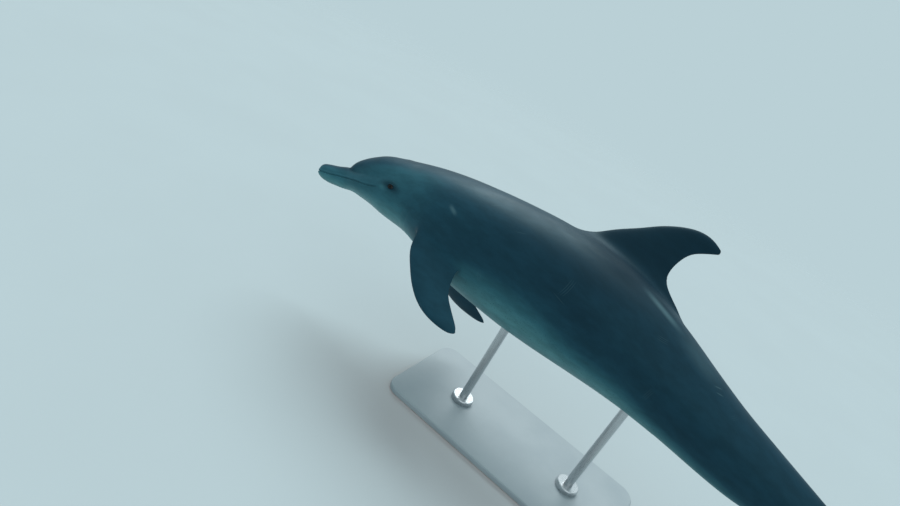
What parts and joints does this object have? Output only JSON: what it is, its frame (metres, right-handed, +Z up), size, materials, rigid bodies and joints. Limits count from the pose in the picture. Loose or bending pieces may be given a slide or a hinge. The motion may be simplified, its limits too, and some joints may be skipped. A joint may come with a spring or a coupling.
{
  "type": "bottlenose dolphin",
  "caption": "Life-size bottlenose dolphin swimming in a gentle banked turn, with a long beak, a hooked back fin, spread flippers and tail flukes, held over a flat base by upright rods.",
  "frame": {"origin": "middle of the underside of the display base, on the floor", "axes": "+X toward the beak along the swimming direction, +Y to the dolphin's left, +Z up"},
  "size_m": [2.4048, 0.6212, 1.0716],
  "materials": {
    "skin_dark": "smooth wet satin",
    "skin_pale": "smooth wet satin",
    "eye": "wet gloss",
    "stand_paint": "fine satin powder coat",
    "stand_steel": "brushed"
  },
  "bodies": {
    "root": {"beak_upper": "skin_dark", "jaw_lower": "skin_pale", "head": "skin_dark", "eye_left": "eye", "eye_right": "eye", "neck": "skin_dark", "trunk_front": "skin_dark", "trunk_rear": "skin_dark", "tail_stock_front": "skin_dark", "tail_stock_rear": "skin_dark", "dorsal_fin": "skin_dark", "flipper_left": "skin_dark", "flipper_right": "skin_dark", "fluke_left": "skin_dark", "fluke_right": "skin_dark", "stand_base": "stand_paint", "stand_rod_front": "stand_steel", "stand_rod_rear": "stand_steel", "stand_collar_front": "stand_steel", "stand_collar_rear": "stand_steel"}
  },
  "joints": []
}
